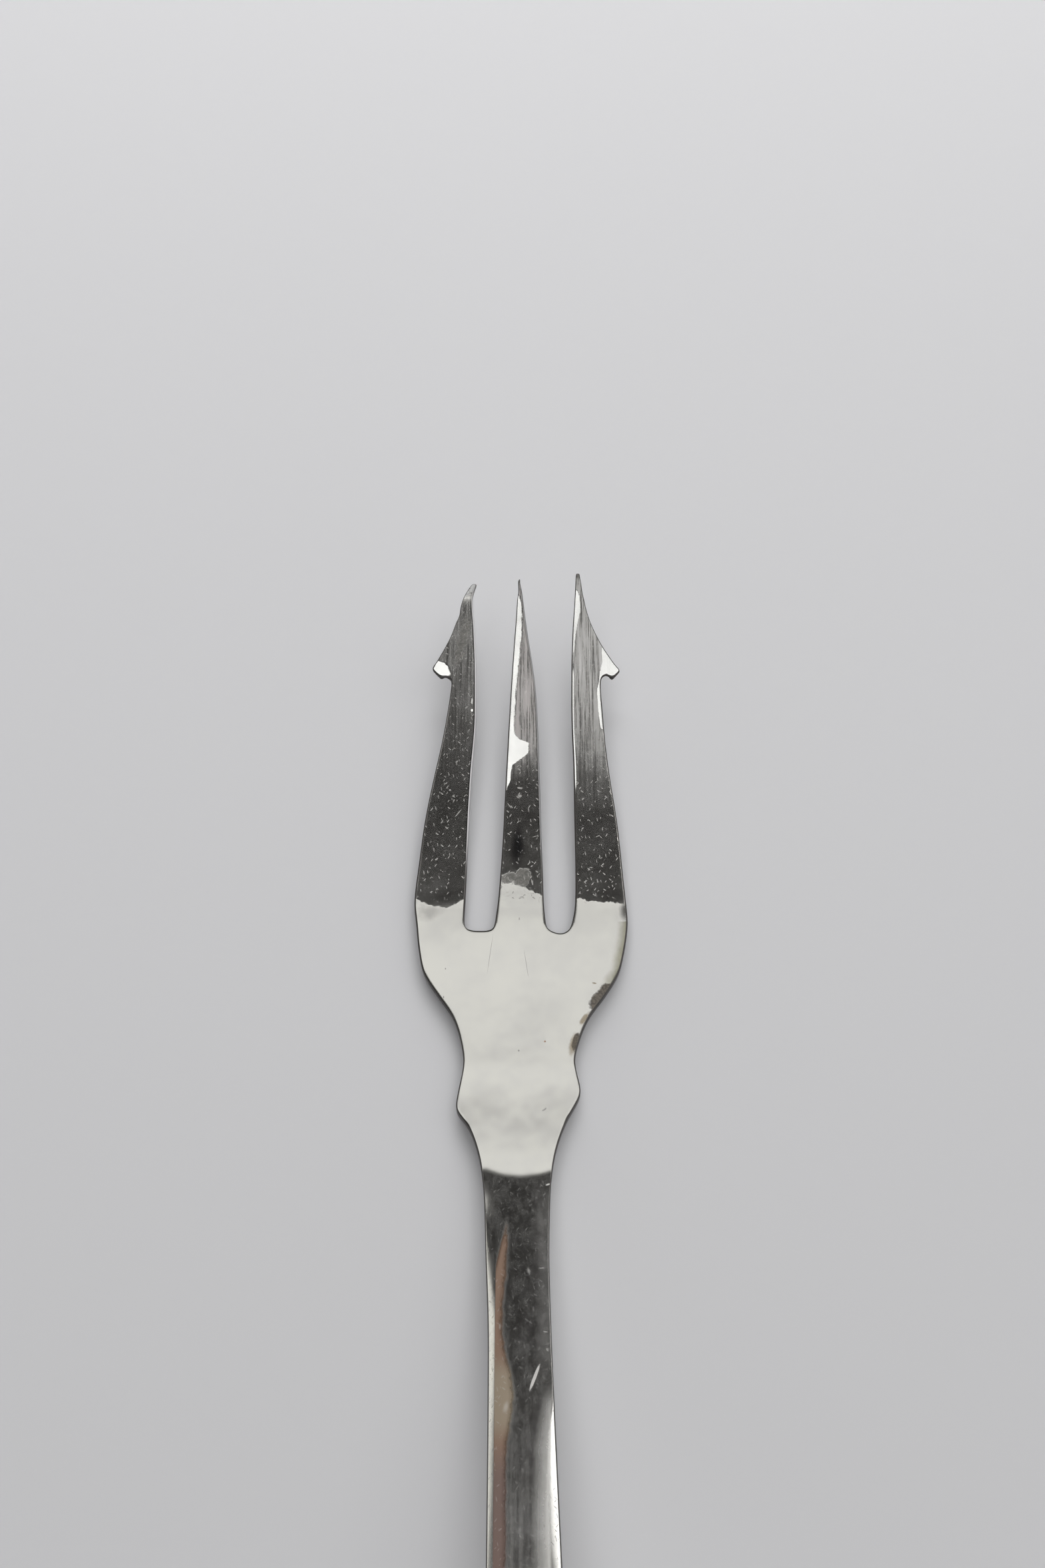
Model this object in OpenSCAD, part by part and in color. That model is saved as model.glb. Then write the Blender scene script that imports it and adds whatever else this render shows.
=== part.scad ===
// Three-tined pickle fork, one piece of silver plated metal, sizes in millimetres.
// It lies on its back: the tines point along +Y and curve up, the flat of the head is
// on top, and it touches the table under the palm and under the end of the handle.
// Distances called "up" run from the bottoms of the slots towards the tips, and
// distances called "back" run from there towards the end of the handle.

/* [Tines] */
// Bottoms of the slots to the tip of the right tine, the longest
tine_l = 37; // [33:0.2:42]
// How much shorter the middle tine is
mid_short = 0.9; // [0:0.1:2]
// How much shorter the left tine is, its tip having been knocked over
left_short = 1; // [0:0.1:2]
// Width of each slot at its bottom
slot_w = 2.9; // [2.2:0.05:3.4]
// Width of the middle tine at its root
mid_root_w = 4.2; // [3.4:0.05:5]
// Width of the middle tine where it starts to come to a point
mid_neck_w = 2.4; // [1.8:0.05:3.2]
// Inner side to inner side of the outer tines, at the barbs
spread_w = 9; // [8:0.1:10]
// Width of an outer tine just below its barb
outer_w = 2.5; // [2:0.05:3.2]
// Width of an outer tine across the point of its barb
barb_w = 4.3; // [3.6:0.05:5.4]
// Slots' bottoms to the points of the barbs
barb_up = 26.9; // [23:0.1:29]
// How hollow the edge from barb to tip is on the left tine, where 1 is straight
left_hollow = 1.3; // [1:0.1:2]
// The same on the right tine
right_hollow = 1.7; // [1:0.1:2]
// Width of the blunt tip of an outer tine
tip_w = 0.5; // [0.35:0.05:0.8]
// How far the outer tines stand over to the right at the barbs
tine_sway = 0.22; // [0:0.02:0.5]
// How much wider the right tine is than the left one at the barbs
right_wider = 0.5; // [0:0.05:0.8]

/* [Palm and handle outline] */
// Width across the shoulders, where the head is widest
head_w = 19.2; // [17.4:0.1:22]
// Width of the waist below the palm
waist_w = 9.6; // [8:0.1:12]
// Width across the two knops below the waist
knop_w = 10.6; // [9:0.1:13]
// Width of the stem at its thinnest
stem_w = 5; // [4:0.1:6.5]
// Width of the handle near its end
end_w = 10; // [7:0.1:13]
// Slots' bottoms back to the waist
waist_back = 12.8; // [11:0.1:14.4]
// Waist back to the knops
knop_back = 3.7; // [3:0.1:4.4]
// How far the left knop lies behind the right one
knop_skew = 1.6; // [0:0.1:2.4]
// Slots' bottoms back to the thinnest place of the stem
stem_back = 38; // [35:0.5:46]
// Slots' bottoms back to the end of the handle
handle_l = 138; // [128:1:150]
// Length of the rounding at the end of the handle
end_round = 6; // [4:0.5:9]
// Angle by which the handle leans to the right of the head
handle_lean = 1.2; // [0:0.1:2]

/* [Side profile] */
// Slots' bottoms up to the bend where the tines start to rise off the table
bend_up = 2.4; // [1.5:0.1:4]
// Slope of the tines just after that bend, in degrees
tine_tilt = 3.5; // [1:0.1:6]
// Slope of the tines at their tips, in degrees
tip_tilt = 13.4; // [8:0.1:18]
// Slots' bottoms back to where the underside of the palm leaves the table
rest_back = 8; // [5:0.5:11]
// Slope of the underside at the end of the palm, in degrees
palm_tilt = 2.4; // [1:0.1:4]
// Slope of the underside of the neck, just behind the palm, in degrees
neck_tilt = 7.5; // [5:0.1:9]
// Steepest slope of the handle, in degrees
rise_tilt = 13; // [10:0.1:15]
// Slots' bottoms back to that steepest place
rise_back = 57; // [50:1:60]
// Slots' bottoms back to the crest of the handle
crest_back = 86; // [80:1:90]
// How far the tip of the left tine is bent down
tip_curl = 0.35; // [0:0.05:0.6]
// How far the tip of the left tine is hooked to the right
tip_hook = 0.45; // [0:0.05:0.5]

/* [Thickness and edges] */
// Thickness of the palm
palm_t = 1.35; // [1:0.05:2]
// Thickness of the tines at the barbs
barb_t = 1; // [0.8:0.05:1.4]
// Thickness of the tines at their tips
tip_t = 0.6; // [0.45:0.05:0.9]
// Thickness of the stem in the middle of its width
stem_t = 2.3; // [1.8:0.1:3.2]
// Thickness of the handle at its end
end_t = 1.7; // [1.2:0.1:2.4]
// Height of the rounded top of the stem over its edges
crown = 0.6; // [0.2:0.05:0.9]
// Radius worn on the edges
edge_r = 0.28; // [0.15:0.01:0.35]

/* [Hidden] */

// Cells across one outer tine, one barb, the middle tine and one slot
outer_n = 2;
barb_n = 5;
mid_n = 3;
slot_n = 8;
// Steps around a quarter of a rounded edge
edge_n = 2;
// Rows between the last whole row of the palm and the open slots
root_rows = 3;
// Rows from the slots to the notches, and from the barbs to the tips
shaft_rows = 13;
head_rows = 10;
// Spacing of the rows along the handle, and where it gets closer at the neck and palm
handle_step = 5.6;
neck_step = 1.05;
neck_rows_back = 31;

// Last whole row of the palm, and the height at which the sides of the slots begin
root_back = 2;
slot_open = 1.9;
// Heights of the shoulders, where the palm's outline passes into the tines'
left_shoulder_up = 2.6;
right_shoulder_up = 0.6;
// How far the neck's outline follows the skew of the knops, as a share of it
left_follow = 0.2;
right_follow = 0.7;
// How far the bottom of the right slot lies below that of the left one
right_slot_drop = 0.15;
// Squareness of the slots' bottoms: 2 is an ellipse, more is squarer
left_slot_square = 2.8;
right_slot_square = 1.7;
// Squareness of the rounded end of the handle and of the tips
end_square = 2.2;
tip_square = 2;
// Length of the rounding at an outer tip as a share of its width, and at the middle tip
tip_round = 0.7;
mid_tip_round = 0.2;
// Half width of the pointed middle tip
mid_tip_half = 0.13;
// Stretches of the left tine that are bent down and hooked over with its tip
curl_l = 2.6;
hook_l = 1.6;
// How far the root of the tines stands over to the left
root_sway = -0.05;
// Depth of the notch under a barb, from its point down to the shaft
notch_deep = 1.25;
// Underside of a barb from the notch out to its point: share of its reach, and how far below
// the point it lies, as a share of that depth. The third pair is the roof of the hook, the
// fourth its lip.
barb_under = [[0, 1], [0.08, 0.52], [0.32, 0.256], [0.65, 0.48], [0.9, 0.2], [1, -0.2]];
// How far the middle tine's point stands over to the left
mid_tip_sway = 0.24;
// How far the head's axis stands over to the left at the neck
neck_sway = 0.32;
// Length over which the tines and the neck bend, and the waist back to the end of the palm
bend_l = 1.2;
neck_bend_l = 2;
palm_len = 10.2;
// Knops back to where the neck's outline meets the stem's
neck_run = 9;
// Length of the handle's widest part, ahead of its rounded end
wide_l = 8;
// Thinnest place of the stem back to where the handle starts to lean over
lean_back = 3;
// Length over which the handle's crest turns down, the length of its end that levels off
// to meet the table, and how much of that lies flat
crest_l = 16;
landing_l = 13;
land_l = 4;
// The rounding of the underside, as a share of the crown on top
belly_share = 0.3;

function unit(v) = v / norm(v);
function last(list) = list[len(list) - 1];
function reversed(list) = [for (i = [len(list) - 1:-1:0]) list[i]];
function flat(lists) = [for (l = lists) each l];
function mix(a, b, f) = a * (1 - f) + b * f;
function between(list, from, to) = [for (i = [from:1:to]) list[i]];

// A fair curve through stations [along, value], level wherever the stations turn back
function grade(s, i) = (s[i + 1][1] - s[i][1]) / (s[i + 1][0] - s[i][0]);
function slope(s, i) =
    i == 0 ? grade(s, 0) :
    i == len(s) - 1 ? grade(s, i - 1) :
    let (a = grade(s, i - 1), b = grade(s, i))
    a * b <= 0 ? 0 : 2 * a * b / (a + b);
function fair(s, y) =
    let (
        i = max([0, for (k = [0:len(s) - 2]) if (y >= s[k][0]) k]),
        l = s[i + 1][0] - s[i][0],
        t = min(1, max(0, (y - s[i][0]) / l))
    )
    s[i][1] * (1 + 2 * t) * (1 - t) * (1 - t) + s[i + 1][1] * t * t * (3 - 2 * t)
    + l * t * (1 - t) * (slope(s, i) * (1 - t) - slope(s, i + 1) * t);

// Side profile of the underside. Each stretch bends evenly from one slope to the next,
// and the handle comes down from its crest to lie flat on the table with its end.
palm_back = waist_back + palm_len;
neck_back = palm_back + neck_bend_l;
tine_bends = [
    [bend_up, 0],
    [bend_up + bend_l, tan(tine_tilt)],
    [tine_l, tan(tip_tilt)]
];
rise_bends = [
    [rest_back, 0],
    [palm_back, tan(palm_tilt)],
    [neck_back, tan(neck_tilt)],
    [rise_back, tan(rise_tilt)],
    [crest_back, 0]
];
function climb(list, d, k = 0) =
    k > len(list) - 2 || d <= list[k][0] ? 0 :
    let (
        a = list[k],
        b = list[k + 1],
        e = min(d, b[0]),
        m = mix(a[1], b[1], (e - a[0]) / (b[0] - a[0]))
    )
    (e - a[0]) * (a[1] + m) / 2 + climb(list, d, k + 1);
crest_h = climb(rise_bends, crest_back);
straight_l = handle_l - landing_l - crest_back - crest_l;
fall = crest_h / (crest_l / 2 + straight_l + (landing_l - land_l) / 2);
handle_bends = concat(rise_bends, [
    [crest_back + crest_l, -fall],
    [handle_l - landing_l, -fall],
    [handle_l - land_l, 0],
    [handle_l, 0]
]);
function base(y) = y > 0 ? climb(tine_bends, y) : climb(handle_bends, -y);

thickness = [
    [-handle_l, end_t],
    [-crest_back, mix(end_t, stem_t, 0.35)],
    [-stem_back, stem_t],
    [-neck_back + neck_bend_l * 0.65, mix(palm_t, stem_t, 0.55)],
    [-waist_back, palm_t * 1.04],
    [0, palm_t],
    [barb_up, barb_t],
    [tine_l, tip_t]
];
crowning = [
    [-handle_l, crown * 0.6],
    [-stem_back, crown],
    [-neck_back - neck_bend_l, crown * 0.7],
    [-neck_back + neck_bend_l * 2, 0],
    [tine_l, 0]
];

// Half widths of the body from the end of the handle to the root of the tines
knop_at = waist_back + knop_back;
function shoulder_up(s) = s < 0 ? left_shoulder_up : right_shoulder_up;
function side(s) =
    let (
        k = s * knop_skew / 2,
        f = k * (s < 0 ? left_follow : right_follow)
    )
    [
        [-handle_l + end_round, end_w / 2],
        [-handle_l + end_round + wide_l, end_w * 0.485],
        [-mix(stem_back, handle_l, 0.5), mix(stem_w, end_w, 0.34) / 2],
        [-mix(stem_back, handle_l, 0.2), mix(stem_w, end_w, 0.1) / 2],
        [-stem_back, stem_w / 2],
        [-knop_at - neck_run + f, stem_w * 0.55],
        [-knop_at - neck_run * 0.59 + f, mix(stem_w, knop_w, 0.25) / 2],
        [-knop_at - neck_run * 0.255 + f, mix(stem_w, knop_w, 0.6) / 2],
        [-knop_at + k, knop_w / 2],
        [-waist_back, waist_w / 2],
        [-waist_back * 0.672, mix(waist_w, head_w, 0.23) / 2],
        [-waist_back * 0.484, mix(waist_w, head_w, 0.56) / 2],
        [-waist_back * 0.3125, mix(waist_w, head_w, 0.81) / 2],
        [shoulder_up(s), head_w / 2]
    ];
left_side = side(-1);
right_side = side(1);
axis = [
    [-handle_l, tan(handle_lean) * (handle_l - stem_back - lean_back)],
    [-stem_back - lean_back, 0],
    [-neck_back - neck_bend_l, -neck_sway],
    [-waist_back * 1.47, -neck_sway * 0.8],
    [-waist_back, -neck_sway * 0.53],
    [-waist_back * 0.53, neck_sway * 0.06],
    [0, root_sway]
];
function body_left(y) = fair(axis, y) - fair(left_side, y);
function body_right(y) = fair(axis, y) + fair(right_side, y);

// Tines. Each side is a distance from the head's axis at a height up the tine.
inner_sway = [
    [0, root_sway],
    [barb_up * 0.45, tine_sway / 4],
    [barb_up * 0.8, tine_sway * 1.1],
    [tine_l, tine_sway]
];
outer_sway = [
    [0, root_sway],
    [barb_up * 0.45, root_sway / 2],
    [barb_up, tine_sway + right_wider / 2],
    [tine_l, tine_sway + right_wider * 0.2]
];
notch_up = barb_up - notch_deep * barb_under[0][1];
inner_half = [
    [0, mid_root_w / 2 + slot_w],
    [barb_up * 0.6, mix(mid_root_w / 2 + slot_w, spread_w / 2, 0.6)],
    [barb_up * 0.82, spread_w * 0.494],
    [barb_up, spread_w / 2],
    [tine_l, spread_w * 0.556]
];
function outer_half(s) = [
    [shoulder_up(s), head_w / 2],
    [barb_up * 0.4, mix(head_w, spread_w + 2 * outer_w, 0.28) / 2],
    [barb_up * 0.72, mix(head_w, spread_w + 2 * outer_w, 0.76) / 2],
    [notch_up, spread_w / 2 + outer_w]
];
mid_tip = tine_l - mid_short;
mid_half = [
    [0, mid_root_w / 2],
    [mid_tip * 0.26, mix(mid_root_w, mid_neck_w, 0.42) / 2],
    [mid_tip * 0.67, mid_neck_w / 2],
    [mid_tip * 0.84, mix(mid_neck_w / 2, mid_tip_half, 0.5)],
    [mid_tip, mid_tip_half]
];
mid_axis = [
    [0, root_sway],
    [mid_tip * 0.3, mid_tip_sway * 0.17],
    [mid_tip * 0.66, mid_tip_sway * 0.54],
    [mid_tip * 0.84, -mid_tip_sway * 0.33],
    [mid_tip, -mid_tip_sway]
];
function tip_up(s) = s > 0 ? tine_l : tine_l - left_short;
function hook(s, y) =
    let (from = tip_up(s) - hook_l)
    s > 0 || y < from ? 0 : tip_hook * pow((y - from) / hook_l, 2);
function inner_x(s, y) = s * fair(inner_half, y) + fair(inner_sway, y) + hook(s, y);
function shaft_x(s, y) = s * fair(outer_half(s), y) + fair(outer_sway, y);
// Outer edge above the barb: it hollows from the barb's point to the blunt tip
function barb_x(s, y) =
    let (
        t = min(1, max(0, 1 - (y - barb_up) / (tip_up(s) - barb_up))),
        w = barb_w + s * right_wider / 2,
        hollow = s > 0 ? right_hollow : left_hollow
    )
    inner_x(s, y) + s * mix(tip_w, w, pow(t, hollow));

// A point of the outline is [x, y, radius of the edge there]
function rim_r(width) = min(edge_r, 0.33 * width);
// The points between a and b on a rounded end that stands out by depth along Y
function round_end(a, b, depth, square, n) = [
    for (k = [1:n - 1])
        let (
            c = cos(180 * k / n),
            s = sin(180 * k / n),
            x = sign(c) * pow(abs(c), 2 / square),
            f = (1 - x) / 2
        )
        [mix(a[0], b[0], f), mix(a[1], b[1], f) + depth * pow(s, 2 / square), mix(a[2], b[2], f)]
];

body_n = 2 * outer_n + 2 * slot_n + mid_n;
// Rows along the body, from the start of the rounded end to the root of the tines
body_ys = [
    for (a = [25:15:85]) -handle_l + end_round * (1 - cos(a)),
    for (y = [-handle_l + end_round:handle_step:-neck_rows_back - neck_step]) y,
    for (y = [-neck_rows_back:neck_step:-root_back - neck_step / 2]) y,
    -root_back
];
function superellipse(t, square) = pow(1 - pow(abs(t), square), 1 / square);
function end_share(y) = y > end_round - handle_l ? 1 :
    superellipse((end_round - handle_l - y) / end_round, end_square);
function end_y(share) = -handle_l + end_round * (1 - superellipse(share, end_square));
function body_row(y) =
    let (
        m = (body_left(y) + body_right(y)) / 2,
        h = (body_right(y) - body_left(y)) / 2 * end_share(y)
    )
    [[m - h, y, rim_r(2 * h)], [m + h, y, rim_r(2 * h)]];
body = [for (y = body_ys) body_row(y)];

shaft_ys = [
    for (k = [1:root_rows]) mix(-root_back, slot_open, k / root_rows),
    for (k = [1:shaft_rows]) mix(slot_open, notch_up, k / shaft_rows)
];
// Outer side of the root, which passes from the palm's edge into the tine's
function root_x(s, y) =
    y > shoulder_up(s) ? shaft_x(s, y) :
    s < 0 ? body_left(y) : body_right(y);
function shaft_outer(s) = [
    for (y = shaft_ys) [root_x(s, y), y, edge_r]
];
function shaft_inner(s) = [
    for (y = shaft_ys) if (y >= slot_open) [inner_x(s, y), y, edge_r]
];
function barb_underside(s) = [
    for (k = [1:barb_n])
        let (
            p = barb_under[k],
            from = shaft_x(s, notch_up),
            to = barb_x(s, barb_up)
        )
        [mix(from, to, p[0]), barb_up - notch_deep * p[1], edge_r * 0.8]
];
function head_ys(s) = [
    for (k = [1:head_rows]) mix(barb_up, tip_up(s) - tip_round * tip_w, pow(k / head_rows, 0.8))
];
function head_outer(s) = [
    for (y = head_ys(s)) [barb_x(s, y), y, rim_r(abs(barb_x(s, y) - inner_x(s, y)))]
];
function head_inner(s) = [
    for (y = head_ys(s)) [inner_x(s, y), y, rim_r(abs(barb_x(s, y) - inner_x(s, y)))]
];
mid_ys = [
    for (y = shaft_ys) if (y >= slot_open) y,
    for (k = [1:head_rows]) mix(notch_up, mid_tip - mid_tip_round, pow(k / head_rows, 0.9))
];
function mid_side(s) = [
    for (y = mid_ys) [fair(mid_axis, y) + s * fair(mid_half, y), y, rim_r(2 * fair(mid_half, y))]
];

// The rounded end of the handle, from right to left
handle_end = [
    for (k = [1:body_n - 1])
        let (f = k / body_n, u = (1 - 2 * f) * end_share(body_ys[0]))
        [mix(body[0][1][0], body[0][0][0], f), end_y(u), body[0][0][2]]
];
// The blunt tip of an outer tine, from one of its sides to the other
function outer_tip(from, to) =
    round_end(last(from), last(to), tip_round * tip_w, tip_square, outer_n + barb_n);
// The bottom of a slot, from its left side to its right one
function slot_bottom(left, right, drop, square) =
    round_end(left[0], right[0], -slot_open - drop, square, slot_n);

// The outline in order, clockwise seen from above: from the end of the handle up the left
// side, round the three tines and back down the right side
stretches = [
    ["left body", [for (r = body) r[0]]],
    ["left shaft", shaft_outer(-1)],
    ["left barb", barb_underside(-1)],
    ["left head", head_outer(-1)],
    ["left tip", outer_tip(head_outer(-1), head_inner(-1))],
    ["left head inside", reversed(head_inner(-1))],
    ["left shaft inside", reversed(shaft_inner(-1))],
    ["left slot", slot_bottom(shaft_inner(-1), mid_side(-1), 0, left_slot_square)],
    ["middle left", mid_side(-1)],
    ["middle tip", round_end(last(mid_side(-1)), last(mid_side(1)), mid_tip_round, tip_square, mid_n)],
    ["middle right", reversed(mid_side(1))],
    ["right slot", slot_bottom(mid_side(1), shaft_inner(1), right_slot_drop, right_slot_square)],
    ["right shaft inside", shaft_inner(1)],
    ["right head inside", head_inner(1)],
    ["right tip", outer_tip(head_inner(1), head_outer(1))],
    ["right head", reversed(head_outer(1))],
    ["right barb", reversed(barb_underside(1))],
    ["right shaft", reversed(shaft_outer(1))],
    ["right body", [for (r = reversed(body)) r[1]]],
    ["handle end", handle_end]
];
outline = flat([for (s = stretches) s[1]]);
count = len(outline);

// The way into the metal from each point of the outline
function inward(i) =
    let (d = outline[(i + 1) % count] - outline[(i + count - 1) % count])
    unit([d[1], -d[0]]);
function inset(i, share) =
    let (p = outline[i], n = inward(i), r = p[2] * share)
    [p[0] + n[0] * r, p[1] + n[1] * r];
rims = [for (i = [0:count - 1]) concat(inset(i, 1), 1)];
// The rim of one stretch of the outline, in the outline's order
function start(k) = k == 0 ? 0 : start(k - 1) + len(stretches[k - 1][1]);
function rim(name) =
    let (k = [for (i = [0:len(stretches) - 1]) if (stretches[i][0] == name) i][0])
    between(rims, start(k), start(k) + len(stretches[k][1]) - 1);

// Height of the two skins over a plan point [x, y, share of the crown lost there]
curl_from = tip_up(-1) - curl_l;
function on_left_tine(p) = p[0] < -mid_root_w / 2 - slot_w / 2;
function curl(p) =
    on_left_tine(p) && p[1] > curl_from ? tip_curl * pow((p[1] - curl_from) / curl_l, 2) : 0;
function under_z(p) = base(p[1]) + belly_share * fair(crowning, p[1]) * p[2] - curl(p);
function top_z(p) = base(p[1]) + fair(thickness, p[1]) - fair(crowning, p[1]) * p[2] - curl(p);

// Rounded edge: rings of points from the top skin round to the lower one
function ring(i, a, top) =
    let (p = concat(inset(i, 1 - sin(a)), 1), r = outline[i][2] * (1 - cos(a)))
    [p[0], p[1], top ? top_z(p) - r : under_z(p) + r];
edge = [
    for (i = [0:count - 1]) [
        for (k = [0:edge_n]) ring(i, 90 * k / edge_n, true),
        for (k = [edge_n:-1:0]) ring(i, 90 * k / edge_n, false)
    ]
];

// A row of plan points from a to b. Only its middle points stand up on the crown.
function lost(f) = f <= 0 || f >= 1 ? 1 : pow(2 * f - 1, 2);
function row_at(a, b, shares) = [for (f = shares) [mix(a[0], b[0], f), mix(a[1], b[1], f), lost(f)]];
function even(n) = [for (k = [0:n]) k / n];
// A row of level points, without a crown
function level_row(a, b, n) = [for (f = even(n)) [mix(a[0], b[0], f), mix(a[1], b[1], f), 1]];

left_rim = rim("left body");
right_rim = reversed(rim("right body"));
left_shaft_rim = rim("left shaft");
right_shaft_rim = reversed(rim("right shaft"));
left_inner_rim = reversed(rim("left shaft inside"));
right_inner_rim = rim("right shaft inside");
mid_left_rim = rim("middle left");
mid_right_rim = reversed(rim("middle right"));

// The last whole row of the palm, with the tines and the slots marked off along it
root_marks = [
    last(left_rim)[0],
    left_inner_rim[0][0],
    mid_left_rim[0][0],
    mid_right_rim[0][0],
    right_inner_rim[0][0],
    last(right_rim)[0]
];
root_cells = [outer_n, slot_n, mid_n, slot_n, outer_n];
root_xs = [
    root_marks[0],
    for (m = [0:len(root_cells) - 1], k = [1:root_cells[m]])
        mix(root_marks[m], root_marks[m + 1], k / root_cells[m])
];
root_shares = [for (x = root_xs) (x - root_xs[0]) / (last(root_xs) - root_xs[0])];
root = [
    for (f = root_shares)
        [mix(last(left_rim)[0], last(right_rim)[0], f), mix(last(left_rim)[1], last(right_rim)[1], f), 1]
];
slot_at = outer_n;
mid_at = slot_at + slot_n;
slot_2_at = mid_at + mid_n;
outer_2_at = slot_2_at + slot_n;

// Handle and palm
body_sheet = [
    concat([left_rim[0]], reversed(rim("handle end")), [right_rim[0]]),
    for (i = [0:len(body) - 2]) row_at(left_rim[i], right_rim[i], root_shares),
    root
];

// Webs from the root to the bottoms of the slots
function web(first, bottom) = [
    for (j = [0:root_rows]) [for (c = [0:slot_n]) mix(first[c], bottom[c], j / root_rows)]
];
left_web = web(
    between(root, slot_at, mid_at),
    [left_inner_rim[0], each rim("left slot"), mid_left_rim[0]]
);
right_web = web(
    between(root, slot_2_at, outer_2_at),
    [mid_right_rim[0], each rim("right slot"), right_inner_rim[0]]
);

// Shafts of the outer tines, from the root to the notches
left_shaft = [
    between(root, 0, slot_at),
    for (j = [1:root_rows]) level_row(left_shaft_rim[j - 1], left_web[j][0], outer_n),
    for (j = [1:shaft_rows]) row_at(left_shaft_rim[root_rows + j - 1], left_inner_rim[j], even(outer_n))
];
right_shaft = [
    between(root, outer_2_at, body_n),
    for (j = [1:root_rows]) level_row(last(right_web[j]), right_shaft_rim[j - 1], outer_n),
    for (j = [1:shaft_rows]) row_at(right_inner_rim[j], right_shaft_rim[root_rows + j - 1], even(outer_n))
];

// Middle tine, from the root to its point
mid_sheet = [
    between(root, mid_at, slot_2_at),
    for (j = [1:root_rows]) level_row(last(left_web[j]), right_web[j][0], mid_n),
    for (j = [1:len(mid_left_rim) - 1]) row_at(mid_left_rim[j], mid_right_rim[j], even(mid_n)),
    [last(mid_left_rim), each rim("middle tip"), last(mid_right_rim)]
];

// Barbed heads. The first row is the barb's underside and the top row of the shaft.
function head_sheet(first, left, tip, right) = [
    first,
    for (j = [0:head_rows - 1]) row_at(left[j], right[j], even(outer_n + barb_n)),
    [last(left), each tip, last(right)]
];
left_head = head_sheet(
    concat(reversed(rim("left barb")), last(left_shaft)),
    rim("left head"),
    rim("left tip"),
    reversed(rim("left head inside"))
);
right_head = head_sheet(
    concat(last(right_shaft), reversed(rim("right barb"))),
    rim("right head inside"),
    rim("right tip"),
    reversed(rim("right head"))
);
sheets = [body_sheet, left_web, right_web, left_shaft, right_shaft, mid_sheet, left_head, right_head];

function top_row(row) = [for (p = row) [p[0], p[1], top_z(p)]];
function under_row(row) = [for (p = reversed(row)) [p[0], p[1], under_z(p)]];
skins = concat(
    [for (s = sheets) [for (row = s) top_row(row)]],
    [for (s = sheets) [for (row = s) under_row(row)]],
    [reversed(concat(edge, [edge[0]]))]
);

// A grid of points as triangles. Each cell is split along its shorter diagonal, and a cell
// that has closed to a corner at either end of a row is one triangle.
function grid_faces(g, n0) =
    let (w = len(g[0]))
    [
        for (i = [0:len(g) - 2], k = [0:w - 2])
            let (
                a = n0 + i * w + k,
                b = a + 1,
                c = a + w + 1,
                d = a + w,
                ac = norm(g[i][k] - g[i + 1][k + 1]),
                bd = norm(g[i][k + 1] - g[i + 1][k])
            )
            each g[i][k] == g[i + 1][k] ? [[a, c, b]] :
                g[i][k + 1] == g[i + 1][k + 1] ? [[a, d, b]] :
                ac < bd ? [[a, c, b], [a, d, c]] :
                [[a, d, b], [b, d, c]]
    ];
function cells(k) = len(skins[k]) * len(skins[k][0]);
function skin_start(k) = k == 0 ? 0 : skin_start(k - 1) + cells(k - 1);

// The fork stands on its own middle: the outline's box is centred on the origin
xs = [for (p = outline) p[0]];
ys = [for (p = outline) p[1]];
middle = [(min(xs) + max(xs)) / 2, (min(ys) + max(ys)) / 2, 0];

module fork() {
    color("silver")
        translate(-middle)
            polyhedron(
                points = flat([for (s = skins) flat(s)]),
                faces = flat([for (k = [0:len(skins) - 1]) grid_faces(skins[k], skin_start(k))]),
                convexity = 6
            );
}

fork();
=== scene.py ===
import math
import bmesh
import bpy
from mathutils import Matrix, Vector, noise


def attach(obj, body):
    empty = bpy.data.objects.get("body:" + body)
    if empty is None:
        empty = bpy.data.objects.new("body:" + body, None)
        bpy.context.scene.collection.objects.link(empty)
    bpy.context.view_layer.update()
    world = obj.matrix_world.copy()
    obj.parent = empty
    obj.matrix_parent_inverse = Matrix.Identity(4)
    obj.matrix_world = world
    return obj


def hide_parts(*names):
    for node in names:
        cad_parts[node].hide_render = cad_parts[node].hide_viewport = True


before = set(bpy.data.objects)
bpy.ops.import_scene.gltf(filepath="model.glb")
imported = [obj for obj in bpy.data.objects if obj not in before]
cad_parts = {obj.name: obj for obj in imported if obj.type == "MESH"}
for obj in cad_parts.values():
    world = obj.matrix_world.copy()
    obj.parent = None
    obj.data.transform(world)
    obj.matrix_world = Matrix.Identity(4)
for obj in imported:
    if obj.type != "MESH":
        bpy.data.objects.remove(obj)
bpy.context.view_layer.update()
MM = 0.001

# The view. The photograph looks down on the fork from the side of its handle, with the
# tines pointing away, through a normal lens, and cuts off the end of the handle.
CAMERA_AT = (0.12, -44.07, 170.87)
LOOKS_DOWN = 57

bpy.ops.object.camera_add(
    location=[c * MM for c in CAMERA_AT], rotation=(math.radians(90 - LOOKS_DOWN), 0, 0))
camera = bpy.context.object
camera.name = "camera"
camera.data.lens = 50
camera.data.sensor_width = 36
camera.data.clip_start = 0.005
bpy.context.scene.camera = camera
bpy.context.scene.view_settings.view_transform = "Standard"

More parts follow.
